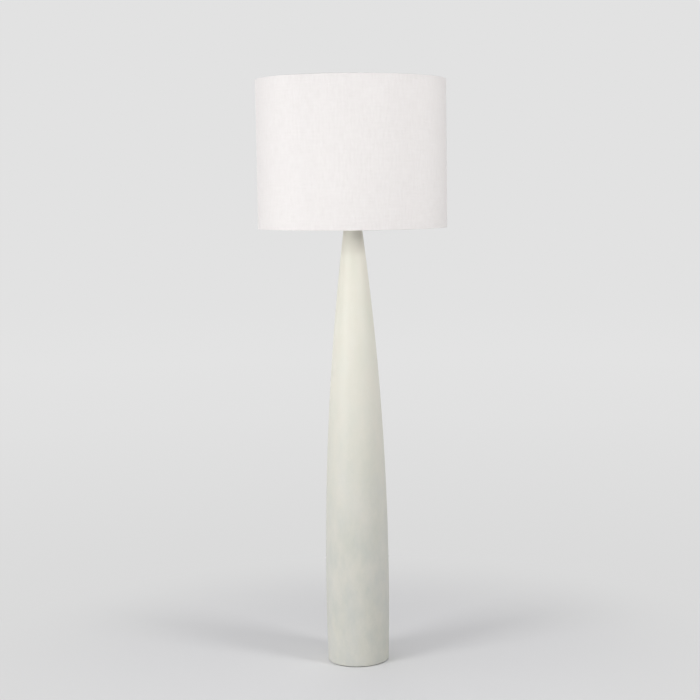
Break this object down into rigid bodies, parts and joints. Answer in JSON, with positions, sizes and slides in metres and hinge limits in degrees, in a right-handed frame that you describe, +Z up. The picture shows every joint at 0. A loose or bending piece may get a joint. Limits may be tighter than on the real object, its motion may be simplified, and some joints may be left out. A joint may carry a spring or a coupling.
{
  "type": "column floor lamp",
  "caption": "Floor lamp with a tall column whose side is one long arc, widest near the foot, under a straight drum shade of pale linen.",
  "frame": {"origin": "centre of the foot's underside, on the floor", "axes": "+Z up the column's axis, -Y towards the front, +Y towards the cord inlet, +X to the right seen from the front"},
  "size_m": [0.4999, 0.5, 1.557],
  "materials": {
    "column_finish": "cast resin with a satin grey-green finish",
    "pad_felt": "dense dark pad",
    "plate_steel": "black painted steel",
    "ballast_iron": "rough casting",
    "screw_steel": "zinc plated",
    "grommet_rubber": "pale soft grommet",
    "block_nylon": "natural nylon",
    "terminal_brass": "turned",
    "lead_sheath": "white sheath",
    "live_brown": "brown insulation",
    "neutral_blue": "blue insulation",
    "neck_nickel": "satin nickel",
    "holder_white": "moulded, fine matt",
    "holder_porcelain": "white porcelain",
    "socket_metal": "plated brass",
    "shade_linen": "plain-woven linen, off-white",
    "shade_liner": "white backing sheet",
    "shade_wire": "white coated wire",
    "globe_opal": "opal",
    "collar_white": "moulded",
    "cap_nickel": "nickel plated",
    "insulator_black": "black vitrite",
    "board_white": "white faced board"
  },
  "bodies": {
    "stand": {"foot_pad": "pad_felt", "base_screws": "screw_steel", "base_plate": "plate_steel", "ballast_weight": "ballast_iron", "column_shell": "column_finish", "cord_grommet": "grommet_rubber", "terminal_block": "block_nylon", "terminal_block_screws": "terminal_brass", "inner_lead": "lead_sheath", "live_core": "live_brown", "neutral_core": "neutral_blue", "neck_cap": "neck_nickel", "entry_tube": "screw_steel", "lock_nut": "screw_steel", "neck_washer": "neck_nickel", "neck_nut": "neck_nickel", "holder_dome": "holder_white", "terminal_screws": "terminal_brass", "holder_insert": "holder_porcelain", "holder_skirt": "holder_white", "screw_shell": "socket_metal", "centre_contact": "socket_metal"},
    "shade": {"shade_fabric": "shade_linen", "shade_liner": "shade_liner", "lower_wire_ring": "shade_wire", "upper_wire_ring": "shade_wire", "fitter_ring": "shade_wire", "spider_arms": "shade_wire", "lower_hem": "shade_linen", "upper_hem": "shade_linen"},
    "clamp": {"shade_ring": "holder_white"},
    "switch": {"switch_bar": "neck_nickel", "switch_knobs": "holder_white"},
    "bulb_base": {"bulb_tip": "cap_nickel"},
    "bulb": {"bulb_insulator": "insulator_black", "bulb_cap": "cap_nickel", "bulb_collar": "collar_white", "led_board": "board_white", "bulb_globe": "globe_opal"}
  },
  "joints": [
    {"name": "shade_turn", "type": "hinge", "parent": "stand", "child": "shade", "pos_m": [0, 0, 1.2171], "axis": [0, 0, 1], "continuous": true},
    {"name": "shade_ring_turn", "type": "hinge", "parent": "stand", "child": "clamp", "pos_m": [0, 0, 1.2187], "axis": [0, 0, 1], "range_deg": [0, 720]},
    {"name": "switch_push", "type": "slide", "parent": "stand", "child": "switch", "axis": [0, 1, 0], "range_m": [0, 0.006]},
    {"name": "bulb_rise", "type": "slide", "parent": "stand", "child": "bulb_base", "axis": [0, 0, 1], "range_m": [0, 0.0218]},
    {"name": "bulb_unscrew", "type": "hinge", "parent": "bulb_base", "child": "bulb", "pos_m": [0, 0, 1.2183], "axis": [0, 0, 1], "range_deg": [0, 2160]}
  ],
  "couplings": [
    {"joint": "bulb_rise", "follows": "bulb_unscrew", "m_per_rad": 0.00057773}
  ]
}
